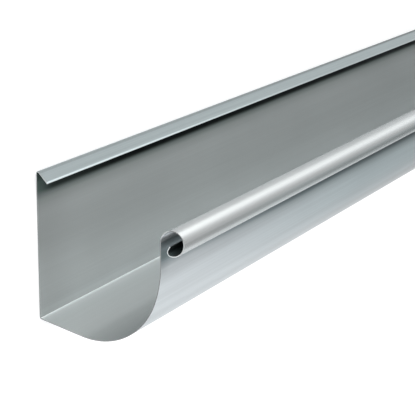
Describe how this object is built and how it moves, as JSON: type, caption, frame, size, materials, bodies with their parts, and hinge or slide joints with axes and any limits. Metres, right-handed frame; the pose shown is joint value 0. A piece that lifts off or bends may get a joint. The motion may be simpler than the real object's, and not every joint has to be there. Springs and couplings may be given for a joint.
{
  "type": "eaves gutter section",
  "caption": "Open eaves gutter of thin rolled zinc: flat back wall with a turned-in fold, sloping floor, rounded front and a rolled bead along the front edge.",
  "frame": {"origin": "on the floor under the middle of the gutter, at the centre of its bounding box's underside", "axes": "+X along the gutter, +Z up as it lies unheld on the floor, on its flat back wall; the open mouth faces -Y, and the front with the rolled bead is at the top. As installed, -Z faces the fascia and -Y is up"},
  "size_m": [2, 0.1195, 0.1198],
  "materials": {
    "rolled_zinc": "bright rolled zinc, fine streaks along its length"
  },
  "bodies": {
    "root": {"gutter_section": "rolled_zinc"}
  },
  "joints": []
}
